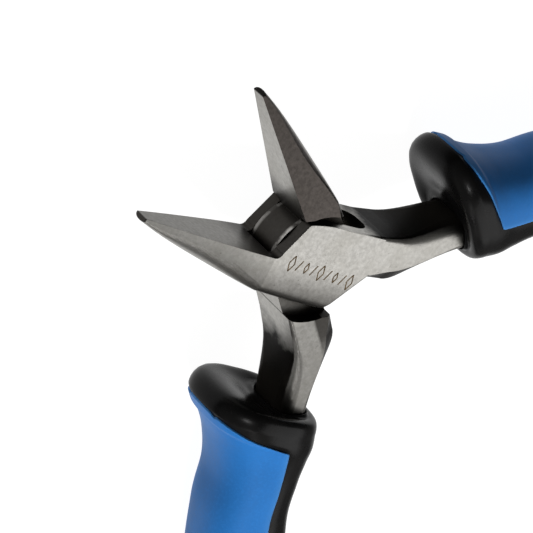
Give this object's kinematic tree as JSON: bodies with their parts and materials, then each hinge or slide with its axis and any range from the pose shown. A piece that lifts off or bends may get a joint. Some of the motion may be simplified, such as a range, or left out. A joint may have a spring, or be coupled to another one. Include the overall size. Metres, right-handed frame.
{
  "type": "box joint pliers",
  "caption": "Jewellery pliers with slim smooth tapering jaws, a box joint and soft two-tone grips, modelled held open.",
  "frame": {"origin": "on the pivot axis, on the joint's flat back face", "axes": "+Z along the pivot axis out of the joint's front face, +Y from the pivot towards the jaw tips, midway between the jaws, +X towards the handle of the slotted half"},
  "size_m": [0.1166, 0.1077, 0.0168],
  "materials": {
    "forged_steel": "satin ground",
    "rivet_steel": "ground flush",
    "black_grip": "semi-gloss",
    "blue_panel": "matte"
  },
  "bodies": {
    "slotted_side": {"box_half": "forged_steel", "pivot_rivet": "rivet_steel", "right_grip_core": "black_grip", "right_grip_overlay": "blue_panel"},
    "tongue_side": {"tongue_half": "forged_steel", "left_grip_core": "black_grip", "left_grip_overlay": "blue_panel"}
  },
  "joints": [
    {"name": "jaw_pivot", "type": "hinge", "parent": "slotted_side", "child": "tongue_side", "pos_m": [0, 0, 0.0049], "axis": [0, 0, -1], "range_deg": [-45, 5]}
  ]
}
